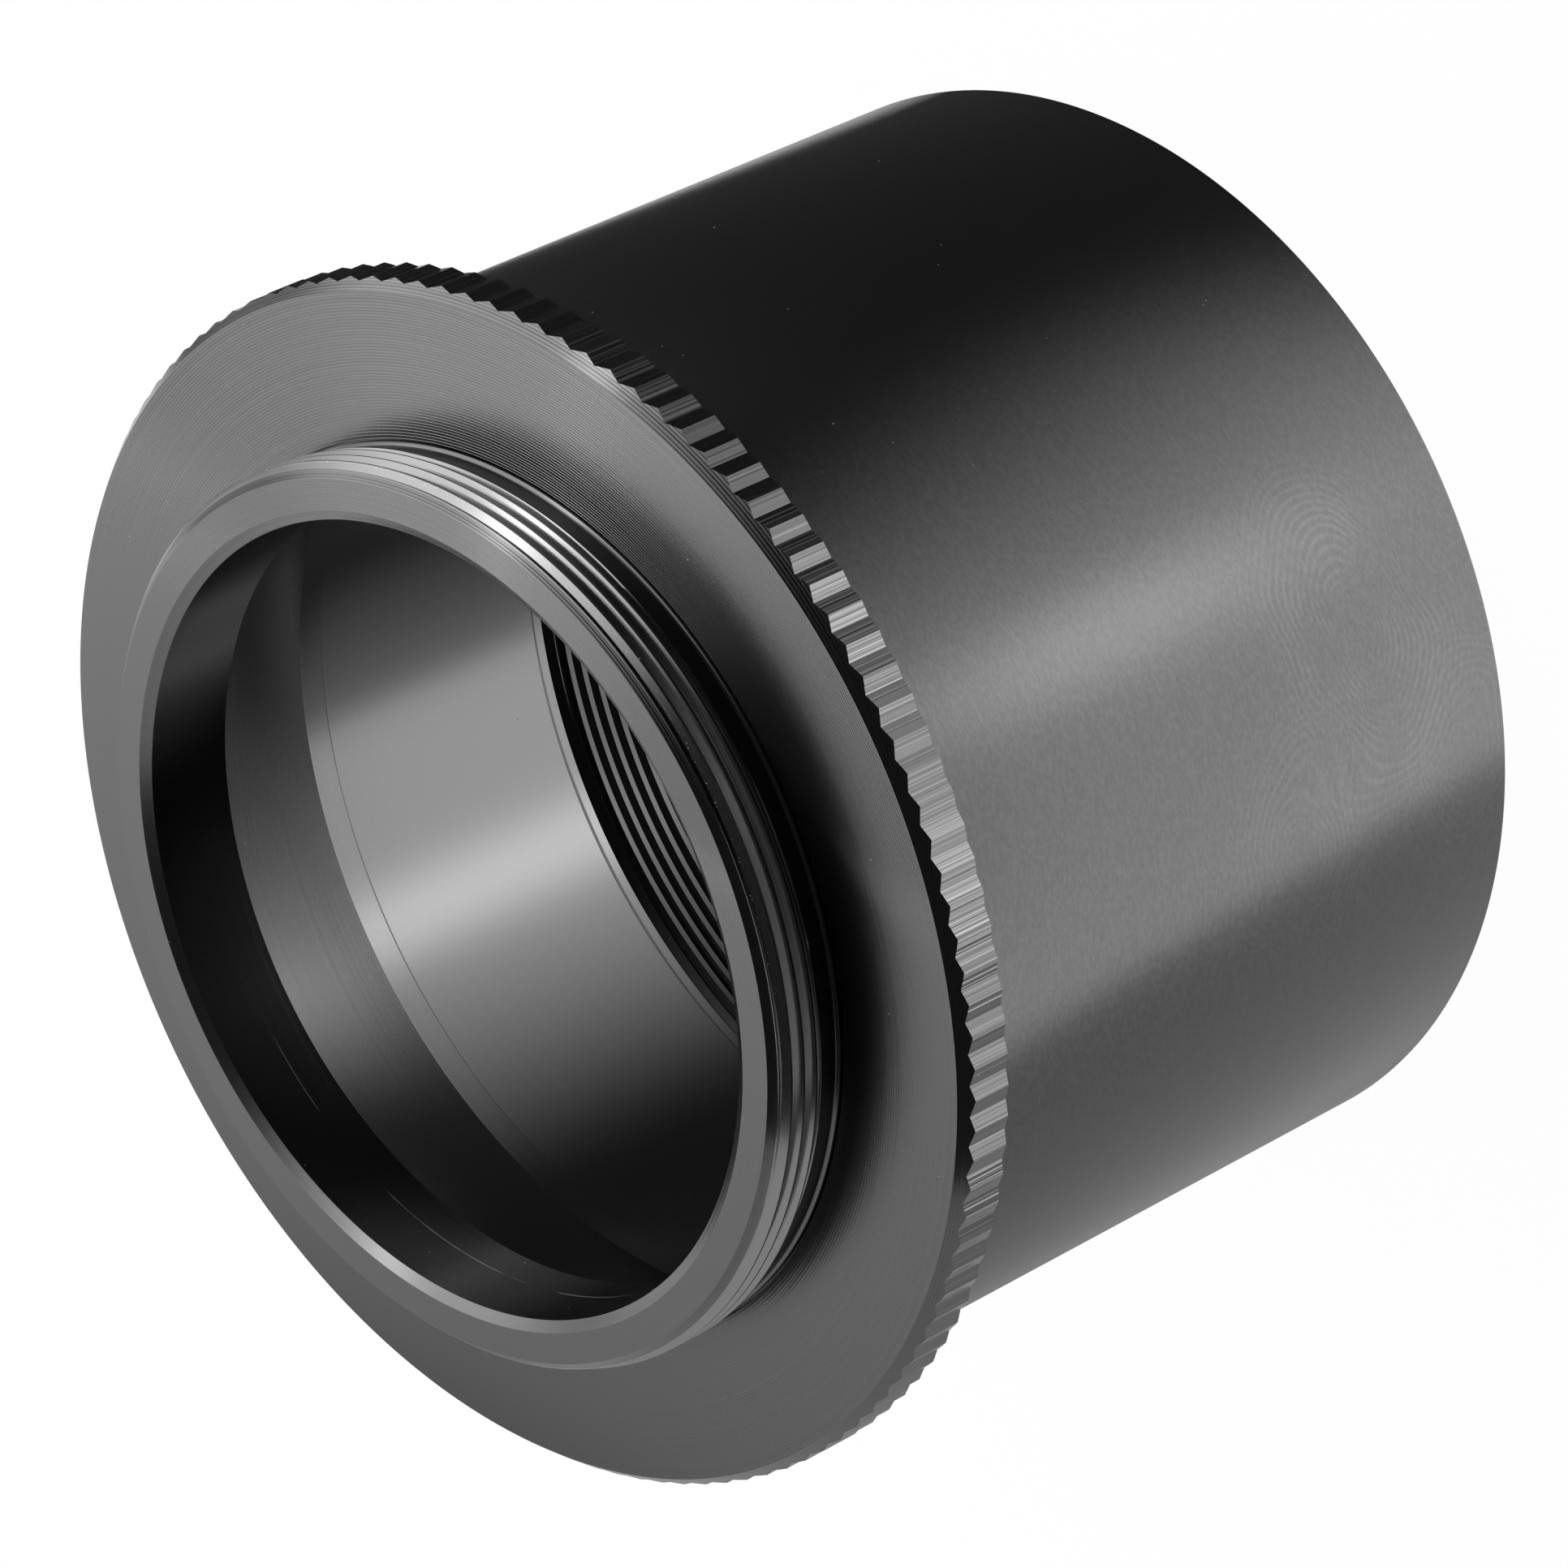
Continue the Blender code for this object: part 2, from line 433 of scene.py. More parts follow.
# Bends, pores and smears of a finger mark, and the sway and gaps of the scratch
PRINT_BEND_SCALE = 120.0
PRINT_BEND = 2.8 * MM
PRINT_SQUEEZE = 0.8
PORE_SCALE = 4000.0
SMEAR_SCALE = 220.0
SCRATCH_SWAY_SCALE = 60.0
SCRATCH_SWAY = 0.15 * MM
SCRATCH_GAP_SCALE = 250.0


def split_place(tree):
    """Place on the piece, whole and as its X, Y and Z."""
    place = new_node(tree, "ShaderNodeTexCoord").outputs["Object"]
    parts = new_node(tree, "ShaderNodeSeparateXYZ")
    tree.links.new(place, parts.inputs[0])
    return place, parts.outputs


def angle_round(tree, parts):
    """Angle round the axis."""
    return calc(tree, "ARCTAN2", parts["Y"], parts["X"])


def axis_distance(tree, parts):
    """Distance from the axis."""
    squares = calc(tree, "MULTIPLY", parts["X"], parts["X"])
    squares = calc(tree, "MULTIPLY_ADD", parts["Y"], parts["Y"], squares)
    return calc(tree, "SQRT", squares)


def meridian(tree, normal):
    """Direction along the turned profile: across the cuts of the lathe, in the surface."""
    place = new_node(tree, "ShaderNodeTexCoord").outputs["Object"]
    round_axis = vector_calc(tree, "CROSS_PRODUCT", (0.0, 0.0, 1.0), place)
    round_axis = vector_calc(tree, "NORMALIZE", round_axis)
    return vector_calc(tree, "CROSS_PRODUCT", normal, round_axis)


def turned_rings_group():
    """Fine concentric cuts of a round-nosed tool.

    The normal leans steadily across each cut, and far over on the steep wall where it ends.
    """
    tree = bpy.data.node_groups.new("turned_rings", "ShaderNodeTree")
    given, result = add_sockets(
        tree,
        (
            ("Normal", "NodeSocketVector", None),
            ("Along the profile", "NodeSocketFloat", 0.0),
            ("Pitch", "NodeSocketFloat", 0.1 * MM),
            ("Lean", "NodeSocketFloat", 0.05),
            ("Unevenness", "NodeSocketFloat", 0.5),
            ("Patchiness", "NodeSocketFloat", 0.3),
            ("Wall", "NodeSocketFloat", 0.0),
            ("Wall share", "NodeSocketFloat", 0.18),
        ),
        (("Normal", "NodeSocketVector"), ("Ridge", "NodeSocketFloat")),
    )
    counted = calc(tree, "DIVIDE", given["Along the profile"], given["Pitch"])
    rough_cut = noise(tree, counted, CUT_SCALE, dimensions="1D", roughness=CUT_ROUGHNESS)
    rough_cut = calc(tree, "MULTIPLY", swing(tree, rough_cut, CUT_REACH), given["Unevenness"])
    within = calc(tree, "FRACT", calc(tree, "MULTIPLY_ADD", rough_cut, CUT_WANDER, counted))
    both = calc(tree, "ADD", rough_cut, swing(tree, within, 1.0))
    steep = calc(tree, "GREATER_THAN", within, calc(tree, "SUBTRACT", 1.0, given["Wall share"]))
    place = new_node(tree, "ShaderNodeTexCoord").outputs["Object"]
    patches = swing(tree, noise(tree, place, PATCH_SCALE, detail=1.0), 1.0)
    weight = calc(tree, "MULTIPLY_ADD", patches, given["Patchiness"], 1.0)
    ridge = calc(tree, "MULTIPLY", both, weight)
    lean = calc(tree, "MULTIPLY", ridge, given["Lean"])
    lean = calc(tree, "MULTIPLY_ADD", steep, given["Wall"], lean)
    across = meridian(tree, given["Normal"])
    tilted = vector_calc(tree, "ADD", given["Normal"], vector_calc(tree, "SCALE", across, lean))
    tree.links.new(vector_calc(tree, "NORMALIZE", tilted), result["Normal"])
    tree.links.new(ramp(tree, ridge, -1.0, 1.0), result["Ridge"])
    return tree


def rolled_lines_group():
    """Fine lines along the axis, pressed by the knurling wheel: the normal leans round the axis."""
    tree = bpy.data.node_groups.new("rolled_lines", "ShaderNodeTree")
    given, result = add_sockets(
        tree,
        (
            ("Normal", "NodeSocketVector", None),
            ("Pitch", "NodeSocketFloat", 0.1 * MM),
            ("Lean", "NodeSocketFloat", 0.1),
        ),
        (("Normal", "NodeSocketVector"), ("Line", "NodeSocketFloat")),
    )
    place, parts = split_place(tree)
    around = calc(tree, "MULTIPLY", angle_round(tree, parts), KNURL_CREST_RADIUS)
    counted = calc(tree, "DIVIDE", around, given["Pitch"])
    line = noise(tree, counted, 1.0, detail=1.0, dimensions="1D", roughness=LINE_ROUGHNESS)
    line = swing(tree, line, CUT_REACH)
    round_axis = vector_calc(tree, "CROSS_PRODUCT", (0.0, 0.0, 1.0), place)
    round_axis = vector_calc(tree, "NORMALIZE", round_axis)
    lean = calc(tree, "MULTIPLY", line, given["Lean"])
    tilted = vector_calc(tree, "ADD", given["Normal"], vector_calc(tree, "SCALE", round_axis, lean))
    tree.links.new(vector_calc(tree, "NORMALIZE", tilted), result["Normal"])
    tree.links.new(ramp(tree, line, *LINE_RAMP), result["Line"])
    return tree


def satin_grain_group():
    """Fine grain of the anodising, drawn out round the axis: a slight random lean and sheen."""
    tree = bpy.data.node_groups.new("satin_grain", "ShaderNodeTree")
    given, result = add_sockets(
        tree,
        (
            ("Normal", "NodeSocketVector", None),
            ("Grain size", "NodeSocketFloat", 0.13 * MM),
            ("Stretch", "NodeSocketFloat", 2.2),
            ("Lean", "NodeSocketFloat", 0.01),
        ),
        (("Normal", "NodeSocketVector"), ("Grain", "NodeSocketFloat")),
    )
    _, parts = split_place(tree)
    around = calc(tree, "MULTIPLY", angle_round(tree, parts), BARREL_RADIUS)
    unrolled = new_node(tree, "ShaderNodeCombineXYZ")
    plug(tree, unrolled.inputs["X"], calc(tree, "DIVIDE", around, given["Stretch"]))
    plug(tree, unrolled.inputs["Y"], axis_distance(tree, parts))
    plug(tree, unrolled.inputs["Z"], parts["Z"])
    texture = new_node(tree, "ShaderNodeTexNoise")
    plug(tree, texture.inputs["Vector"], unrolled.outputs[0])
    plug(tree, texture.inputs["Scale"], calc(tree, "DIVIDE", 1.0, given["Grain size"]))
    texture.inputs["Detail"].default_value = 2.0
    centred = vector_calc(tree, "SUBTRACT", texture.outputs["Color"], (0.5, 0.5, 0.5))
    lean = vector_calc(tree, "SCALE", centred, given["Lean"])
    tilted = vector_calc(tree, "ADD", given["Normal"], lean)
    tree.links.new(vector_calc(tree, "NORMALIZE", tilted), result["Normal"])
    tree.links.new(texture.outputs["Fac"], result["Grain"])
    return tree


def dust_group():
    """Sparse pale specks."""
    tree = bpy.data.node_groups.new("dust_specks", "ShaderNodeTree")
    given, result = add_sockets(
        tree,
        (
            ("Spacing", "NodeSocketFloat", 0.8 * MM),
            ("Size", "NodeSocketFloat", 0.065),
            ("Share", "NodeSocketFloat", 0.3),
        ),
        (("Speck", "NodeSocketFloat"),),
    )
    place = new_node(tree, "ShaderNodeTexCoord").outputs["Object"]
    cells = new_node(tree, "ShaderNodeTexVoronoi")
    plug(tree, cells.inputs["Vector"], place)
    plug(tree, cells.inputs["Scale"], calc(tree, "DIVIDE", 1.0, given["Spacing"]))
    pick = new_node(tree, "ShaderNodeSeparateColor")
    plug(tree, pick.inputs[0], cells.outputs["Color"])
    chosen = calc(tree, "LESS_THAN", pick.outputs["Red"], given["Share"])
    wide = calc(tree, "MULTIPLY", given["Size"], pick.outputs["Green"])
    core = calc(tree, "MULTIPLY", wide, SPECK_CORE)
    inside = ramp(tree, cells.outputs["Distance"], core, wide, 1.0, 0.0)
    tree.links.new(calc(tree, "MULTIPLY", inside, chosen), result["Speck"])
    return tree


def edge_nicks_group():
    """Small bright nicks where the anodising has chipped along one turned edge."""
    tree = bpy.data.node_groups.new("edge_nicks", "ShaderNodeTree")
    given, result = add_sockets(
        tree,
        (
            ("Height", "NodeSocketFloat", 0.0),
            ("Width", "NodeSocketFloat", 0.05 * MM),
            ("Spacing", "NodeSocketFloat", 0.2 * MM),
            ("Share", "NodeSocketFloat", 0.3),
        ),
        (("Nick", "NodeSocketFloat"),),
    )
    place, parts = split_place(tree)
    off = calc(tree, "ABSOLUTE", calc(tree, "SUBTRACT", parts["Z"], given["Height"]))
    near = ramp(tree, off, calc(tree, "MULTIPLY", given["Width"], 0.5), given["Width"], 1.0, 0.0)
    chips = noise(tree, place, calc(tree, "DIVIDE", 1.0, given["Spacing"]))
    level = calc(tree, "SUBTRACT", NICK_LEVEL, calc(tree, "MULTIPLY", given["Share"], 0.5))
    chips = ramp(tree, chips, level, calc(tree, "ADD", level, NICK_EDGE))
    tree.links.new(calc(tree, "MULTIPLY", chips, near), result["Nick"])
    return tree


def finger_mark_group():
    """Faint greasy whorl that a finger left: bent ridges that fade out round their middle."""
    tree = bpy.data.node_groups.new("finger_mark", "ShaderNodeTree")
    given, result = add_sockets(
        tree,
        (
            ("Turn", "NodeSocketFloat", 0.0),
            ("Height", "NodeSocketFloat", 0.0),
            ("Radius", "NodeSocketFloat", 1.0 * MM),
            ("Ridge pitch", "NodeSocketFloat", 0.4 * MM),
            ("Reach", "NodeSocketFloat", 6.0 * MM),
        ),
        (("Mark", "NodeSocketFloat"),),
    )
    place, parts = split_place(tree)
    turned = calc(tree, "SUBTRACT", angle_round(tree, parts), given["Turn"])
    around = calc(tree, "MULTIPLY", turned, given["Radius"])
    upwards = calc(tree, "SUBTRACT", parts["Z"], given["Height"])
    bend = swing(tree, noise(tree, place, PRINT_BEND_SCALE, detail=1.0), PRINT_BEND)
    flat = new_node(tree, "ShaderNodeCombineXYZ")
    plug(tree, flat.inputs["X"], calc(tree, "MULTIPLY_ADD", around, PRINT_SQUEEZE, bend))
    plug(tree, flat.inputs["Y"], calc(tree, "SUBTRACT", upwards, bend))
    distance = vector_calc(tree, "LENGTH", flat.outputs[0])
    counted = calc(tree, "DIVIDE", distance, given["Ridge pitch"])
    mark = ramp(tree, calc(tree, "SINE", calc(tree, "MULTIPLY", counted, TURN)), *RIDGE_RAMP)
    half_reach = calc(tree, "MULTIPLY", given["Reach"], 0.5)
    for weight in (
        ramp(tree, noise(tree, place, PORE_SCALE, detail=1.0), *PORE_RAMP),
        ramp(tree, noise(tree, place, SMEAR_SCALE), *SMEAR_RAMP),
        ramp(tree, distance, half_reach, given["Reach"], 1.0, 0.0),
        ramp(tree, distance, *PRINT_MIDDLE_RAMP),
    ):
        mark = calc(tree, "MULTIPLY", mark, weight)
    tree.links.new(mark, result["Mark"])
    return tree


def bore_scratch_group():
    """One fine scratch that runs most of the way round at a steady height, broken in places."""
    tree = bpy.data.node_groups.new("bore_scratch", "ShaderNodeTree")
    given, result = add_sockets(
        tree,
        (
            ("Height", "NodeSocketFloat", 0.0),
            ("Width", "NodeSocketFloat", 0.02 * MM),
        ),
        (("Scratch", "NodeSocketFloat"),),
    )
    place, parts = split_place(tree)
    sway = swing(tree, noise(tree, place, SCRATCH_SWAY_SCALE, detail=1.0), SCRATCH_SWAY)
    off = calc(tree, "SUBTRACT", calc(tree, "ADD", parts["Z"], sway), given["Height"])
    line = ramp(tree, calc(tree, "ABSOLUTE", off), 0.0, given["Width"], 1.0, 0.0)
    whole = ramp(tree, noise(tree, place, SCRATCH_GAP_SCALE), *SCRATCH_GAP_RAMP)
    side = ramp(tree, parts["Y"], *SCRATCH_SIDE_RAMP)
    tree.links.new(calc(tree, "MULTIPLY", calc(tree, "MULTIPLY", line, whole), side), result["Scratch"])
    return tree


RINGS = turned_rings_group()
LINES = rolled_lines_group()
GRAIN = satin_grain_group()
DUST = dust_group()
NICKS = edge_nicks_group()
FINGER = finger_mark_group()
SCRATCH = bore_scratch_group()


def group_node(tree, group, **values):
    """Places a shader group with its own values."""
    node = new_node(tree, "ShaderNodeGroup", node_tree=group)
    for name, value in values.items():
        plug(tree, node.inputs[name.replace("_", " ")], value)
    return node


# Each print: degrees round the barrel, height, reach and added gloss
FINGER_PRINTS = (
    (-12.0, 7.5 * MM, 8.0 * MM, 0.55),
    (-27.0, 2.0 * MM, 6.0 * MM, 0.3),
    (-31.0, 13.4 * MM, 6.0 * MM, 0.3),
)
FINGER_RIDGE_PITCH = 0.36 * MM
SCRATCH_SHARE = 0.5
SCRATCH_HEIGHT = FLANGE_FACE + 1.05 * MM

# Colours, gloss and roughness of the anodising and of what lies on it
ANODISED_BLACK = (0.003, 0.003, 0.003, 1.0)
DUST_GREY = (0.22, 0.22, 0.21, 1.0)
BARE_METAL = (0.35, 0.35, 0.34, 1.0)
SATIN_GRAIN = (0.3, 0.7)
SATIN_GLOSS = (0.15, 0.58)
GRAIN_ROUGHNESS = 0.02
DUST_ROUGHNESS = 0.4
ANODISED_IOR = 1.6
THREAD_IOR = 2.2
SPECULAR_LEVEL = 0.75
BARREL_SPECULAR_LEVEL = 0.6
# The chamber reflects less than the other turned surfaces: painted shade of the bore round it
CHAMBER_SHADED_LEVEL = 0.79
THROAT_SPECULAR_LEVEL = 0.35
FACE_SPECULAR_LEVEL = 1.0

# The ring shade across the faces is painted stronger towards one side, where the light shows the rings, and
# the steep walls of the cuts lean only on that side
RINGS_SHOWN_SIDE = (0.64, 0.77, 0.0)
RING_SHADE_REACH = (2.0 * MM, 17.0 * MM)
STEEP_CUT_REACH = (7.0 * MM, 18.0 * MM)
FAR_SIDE_RING_SHADE = 0.25


def anodised(name, roughness, cut, pitch, lean, shade=0.0, wall=0.0, uneven=0.5, patchy=0.3, grain=0.006,
             dust=0.2, level=SPECULAR_LEVEL, ior=ANODISED_IOR, wear=None, print_left=None):
    """Black anodising over one kind of cut, with its own wear if it has any.

    The cut is radius where the tool faced across the part, height where it ran along it, and
    turn where a wheel rolled the knurl. Shade is how much duller the bottom of each cut is: the
    Metallic value over the black colour takes the gloss away there, partly as a duller finish
    and partly as painted shade in the grooves. On a faced cut this painted ring shade is full on
    the side where the light shows the rings, and evened out on the far side. Wall is how far the
    normal leans on the steep wall of a faced cut. A print left on a surface is glossier than the
    satin grain round it.
    """
    material = bpy.data.materials.new(name)
    material.use_nodes = True
    tree = material.node_tree
    shader = tree.nodes["Principled BSDF"]
    place, parts = split_place(tree)
    normal = new_node(tree, "ShaderNodeNewGeometry").outputs["Normal"]
    if cut == "radius":
        along = axis_distance(tree, parts)
        across = vector_calc(tree, "DOT_PRODUCT", place, RINGS_SHOWN_SIDE)
        # depth here is painted shade: the share of full ring shade, high on the side where the light shows
        # the rings
        depth = ramp(tree, across, *RING_SHADE_REACH, FAR_SIDE_RING_SHADE, 1.0)
        steepness = calc(tree, "MULTIPLY", ramp(tree, across, *STEEP_CUT_REACH), wall)
    else:
        along = parts["Z"]
        steepness = 0.0
    if cut == "turn":
        marks = group_node(tree, LINES, Normal=normal, Pitch=pitch, Lean=lean)
        raised = marks.outputs["Line"]
    else:
        marks = group_node(tree, RINGS, Normal=normal, Along_the_profile=along, Pitch=pitch, Lean=lean,
                           Unevenness=uneven, Patchiness=patchy, Wall=steepness)
        raised = marks.outputs["Ridge"]
    fine = group_node(tree, GRAIN, Normal=marks.outputs["Normal"], Lean=grain)
    speck = group_node(tree, DUST, Share=dust).outputs["Speck"]
    if print_left:
        gloss = ramp(tree, fine.outputs["Grain"], *SATIN_GRAIN, *SATIN_GLOSS)
        raised = calc(tree, "ADD", gloss, print_left(tree))
    # Painted shade: the Metallic value dulls the bottom of each cut, partly a duller finish and partly
    # shade in the grooves.
    if shade > 0.0:
        dull = calc(tree, "MULTIPLY_ADD", raised, -shade, shade)
        # Painted shade: away from the lit side, the ring shade is flattened towards its mean.
        if cut == "radius":
            dull = calc(tree, "MULTIPLY_ADD", calc(tree, "SUBTRACT", dull, 0.5 * shade), depth, 0.5 * shade)
        tree.links.new(dull, shader.inputs["Metallic"])
    worn = wear(tree, ANODISED_BLACK) if wear else ANODISED_BLACK
    tree.links.new(mix_colour(tree, speck, worn, DUST_GREY), shader.inputs["Base Color"])
    sheen = calc(tree, "ADD", swing(tree, fine.outputs["Grain"], GRAIN_ROUGHNESS), roughness)
    tree.links.new(calc(tree, "MULTIPLY_ADD", speck, DUST_ROUGHNESS, sheen), shader.inputs["Roughness"])
    tree.links.new(fine.outputs["Normal"], shader.inputs["Normal"])
    shader.inputs["IOR"].default_value = ior
    shader.inputs["Specular IOR Level"].default_value = level
    return material


def nicked_edge(tree, colour):
    """Bare metal glints along the lower edge of the boss's chamfer."""
    nick = group_node(tree, NICKS, Height=CHAMFER_FOOT, Width=0.05 * MM, Spacing=0.11 * MM, Share=0.28)
    return mix_colour(tree, nick.outputs["Nick"], colour, BARE_METAL)


def finger_prints(tree):
    """Grease of a finger near the barrel's rear edge: one clear print and two faint ones."""
    total = 0.0
    for turn, height, reach, gloss in FINGER_PRINTS:
        mark = group_node(tree, FINGER, Turn=math.radians(turn), Height=height, Radius=BARREL_RADIUS,
                          Ridge_pitch=FINGER_RIDGE_PITCH, Reach=reach)
        total = calc(tree, "MULTIPLY_ADD", mark.outputs["Mark"], gloss, total)
    return total


def scratched_bore(tree, colour):
    """Pale scratch round the throat."""
    scratch = group_node(tree, SCRATCH, Height=SCRATCH_HEIGHT, Width=0.045 * MM)
    share = calc(tree, "MULTIPLY", scratch.outputs["Scratch"], SCRATCH_SHARE)
    return mix_colour(tree, share, colour, BARE_METAL)


# Pieces


def focuser_barrel():
    """Barrel, rear rim and bore, down to the seat of the filter thread."""
    outside = anodised("barrel_satin", 0.24, "height", 0.12 * MM, 0.01, shade=0.3, grain=0.02, dust=0.35,
                       level=BARREL_SPECULAR_LEVEL, print_left=finger_prints)
    rim = anodised("rear_rim_faced", 0.25, "radius", 0.1 * MM, 0.04)
    cone = anodised("cone_turned", 0.2, "height", 0.2 * MM, 0.02, level=1.0)
    bore = anodised("chamber_turned", 0.2, "height", 0.15 * MM, 0.012, level=CHAMBER_SHADED_LEVEL)
    profile = [(FILTER_SEAT_RADIUS, 0.0, 1)]
    profile += arc(BARREL_RADIUS - BARREL_EDGE, BARREL_EDGE, BARREL_EDGE, -90.0, 0.0, 4, 1)[:-1]
    profile += [
        (BARREL_RADIUS, BARREL_EDGE, 0),
        (BARREL_RADIUS, FLANGE_BACK, 0),
        (BARREL_RADIUS - LAP, FLANGE_BACK + 3.0 * LAP, 0),
        (BARREL_SHOULDER_RADIUS, FLANGE_FACE - 2.0 * LAP, 2),
        (THROAT_SEAM_RADIUS, THROAT_END + 3.5 * LAP, 2),
        (THROAT_RADIUS, THROAT_END, 2),
        (COLLAR_RADIUS, COLLAR_START, 3),
        (COLLAR_RADIUS, COLLAR_END + (CHAMBER_RADIUS - COLLAR_RADIUS), 3),
        (CHAMBER_RADIUS, COLLAR_END, 3),
    ]
    groove = FILTER_GROOVE_RADIUS - CHAMBER_RADIUS
    profile += [
        (CHAMBER_RADIUS, FILTER_GROOVE_START + 0.5 * groove, 3),
        (FILTER_GROOVE_RADIUS, FILTER_GROOVE_START - 0.5 * groove, 3),
        (FILTER_GROOVE_RADIUS, FILTER_GROOVE_END, 3),
        (FILTER_SEAT_RADIUS, FILTER_GROOVE_END - 2.0 * LAP, 3),
    ]
    form = bmesh.new()
    lathe(form, profile, TURN_COLUMNS, closed=True)
    mesh = bpy.data.meshes.new("focuser_barrel")
    finish_mesh(mesh, form)
    return new_object("focuser_barrel", mesh, (outside, rim, cone, bore))


TOOTH_ANGLE = math.radians(3.0)
FIRST_CREST = math.radians(0.5)
# Across one tooth from root to root: share of the half tooth, and depth below the crest
TOOTH_PROFILE = (
    (-1.0, 0.160),
    (-0.55, 0.088),
    (-0.40, 0.060),
    (-0.30, 0.050),
    (0.0, 0.0),
    (0.50, 0.078),
    (0.58, 0.096),
    (0.66, 0.104),
    (1.0, 0.160),
)


def knurled_flange():
    """One tooth with its slice of the flange, repeated round the axis."""
    face = anodised("flange_faced", 0.26, "radius", 0.135 * MM, 0.06, shade=0.4, wall=-0.75, uneven=0.25,
                    level=FACE_SPECULAR_LEVEL)
    chamfer = anodised("flange_chamfer", 0.18, "radius", 0.1 * MM, 0.12, shade=0.5, level=1.0)
    rim = anodised("knurl_rolled", 0.15, "turn", 0.13 * MM, 0.14, shade=0.4, level=0.9)
    slope = FLANGE_CHAMFER_HEIGHT / (KNURL_CREST_RADIUS - FLANGE_FACE_RADIUS)
    form = bmesh.new()
    columns = []
    for share, depth in TOOTH_PROFILE:
        angle = 0.5 * TOOTH_ANGLE * share
        rim_radius = KNURL_CREST_RADIUS - depth * MM
        points = (
            (FLANGE_BORE_RADIUS, FLANGE_FACE),
            (FLANGE_FACE_RADIUS, FLANGE_FACE),
            (rim_radius, FLANGE_FACE - (rim_radius - FLANGE_FACE_RADIUS) * slope),
            (rim_radius, FLANGE_BACK),
            (BARREL_RADIUS, FLANGE_BACK),
            (BARREL_RADIUS - 2.0 * LAP, FLANGE_BACK - LAP),
            (FLANGE_BORE_RADIUS, FLANGE_FACE - 4.0 * LAP),
        )
        column = []
        for radius, height in points:
            column.append(form.verts.new((radius * math.cos(angle), radius * math.sin(angle), height)))
        columns.append(column)
    finishes = (0, 1, 2, 0, 0, 0, 0)
    for left, right in zip(columns, columns[1:]):
        for band, finish in enumerate(finishes):
            after = (band + 1) % len(finishes)
            quad = form.faces.new((left[band], left[after], right[after], right[band]))
            quad.material_index = finish
    flange = new_object("knurled_flange", plain_mesh("knurl_tooth", form), (face, chamfer, rim))
    values = {
        "Teeth": round(TURN / TOOTH_ANGLE),
        "First crest": FIRST_CREST,
        "Merge distance": MERGE_DISTANCE,
        "Material": rim,
    }
    apply_tree(flange, knurl_tree(), values, KNURL_EDGE_ANGLE)
    return flange


def thread_values(material, columns, rows_per_pitch, crest_flat, crest_height, start, end):
    """Inputs that both threads share, with rows that fall on the edges of the crest."""
    row = THREAD_PITCH / rows_per_pitch
    first = crest_height - 0.5 * crest_flat
    below = math.ceil((first - (start - THREAD_PITCH)) / row)
    lowest = first - below * row
    return {
        "Columns": columns,
        "Rows": math.ceil((end - lowest) / row),
        "Row height": row,
        "Lowest row": lowest,
        "Pitch": THREAD_PITCH,
        "Depth": THREAD_DEPTH,
        "Crest flat": crest_flat,
        "Crest height": crest_height,
        "Start": start,
        "End": end,
        "Merge distance": MERGE_DISTANCE,
        "Material": material,
    }


def camera_boss(tree):
    """Boss with the camera ring's thread, its foot, its front face and the throat."""
    thread = anodised("boss_thread_cut", 0.17, "height", 0.06 * MM, 0.03, level=0.65, ior=THREAD_IOR,
                      wear=nicked_edge)
    foot = anodised("boss_foot_turned", 0.17, "height", 0.1 * MM, 0.05)
    face = anodised("boss_faced", 0.2, "radius", 0.085 * MM, 0.06, shade=0.35, wall=-0.75, uneven=0.3,
                    level=FACE_SPECULAR_LEVEL)
    groove = anodised("boss_groove_cut", 0.25, "height", 0.07 * MM, 0.06, level=0.3)
    chamfer = anodised("boss_chamfer_turned", 0.19, "radius", 0.09 * MM, 0.14, shade=0.5, uneven=0.8,
                       level=1.0)
    throat = anodised("throat_bored", 0.18, "height", 0.1 * MM, 0.015, dust=0.9,
                      level=THROAT_SPECULAR_LEVEL, wear=scratched_bore)
    profile = [
        (CHAMFER_STEP_RADIUS, CHAMFER_STEP_HEIGHT, 5),
        (BOSS_FACE_RADIUS, BOSS_FACE, 2),
        (THROAT_MOUTH_RADIUS, BOSS_FACE, 2),
        (THROAT_RADIUS, BOSS_FACE - THROAT_CHAMFER_HEIGHT, 3),
        (THROAT_RADIUS, THROAT_END, 3),
        (THROAT_SEAM_RADIUS, THROAT_END - 1.5 * LAP, 3),
        (BOSS_ROOT_RADIUS, FLANGE_FACE - 4.0 * LAP, 3),
    ]
    profile += arc(FOOT_RADIUS, FLANGE_FACE + FOOT_FILLET, FOOT_FILLET, 270.0, 180.0, 10, 1)[:-1]
    profile += [
        (FOOT_RADIUS - FOOT_FILLET, FLANGE_FACE + FOOT_FILLET, 4),
        (GROOVE_TOP_RADIUS, FOOT_TOP, 4),
    ]
    form = bmesh.new()
    lathe(form, profile, TURN_COLUMNS, closed=False)
    finishes = (thread, foot, face, throat, groove, chamfer)
    boss = new_object("camera_boss", plain_mesh("camera_boss", form), finishes)
    values = thread_values(thread, TURN_COLUMNS, BOSS_ROWS_PER_PITCH, THREAD_CREST_FLAT, BOSS_FIRST_CREST,
                           FOOT_TOP, CHAMFER_STEP_HEIGHT)
    values["Crest radius"] = BOSS_THREAD_RADIUS
    values["Side"] = -1.0
    values["Start bevel"] = BOSS_THREAD_RADIUS - GROOVE_TOP_RADIUS
    values["End bevel"] = BOSS_THREAD_RADIUS - CHAMFER_STEP_RADIUS
    apply_tree(boss, tree, values)
    return boss


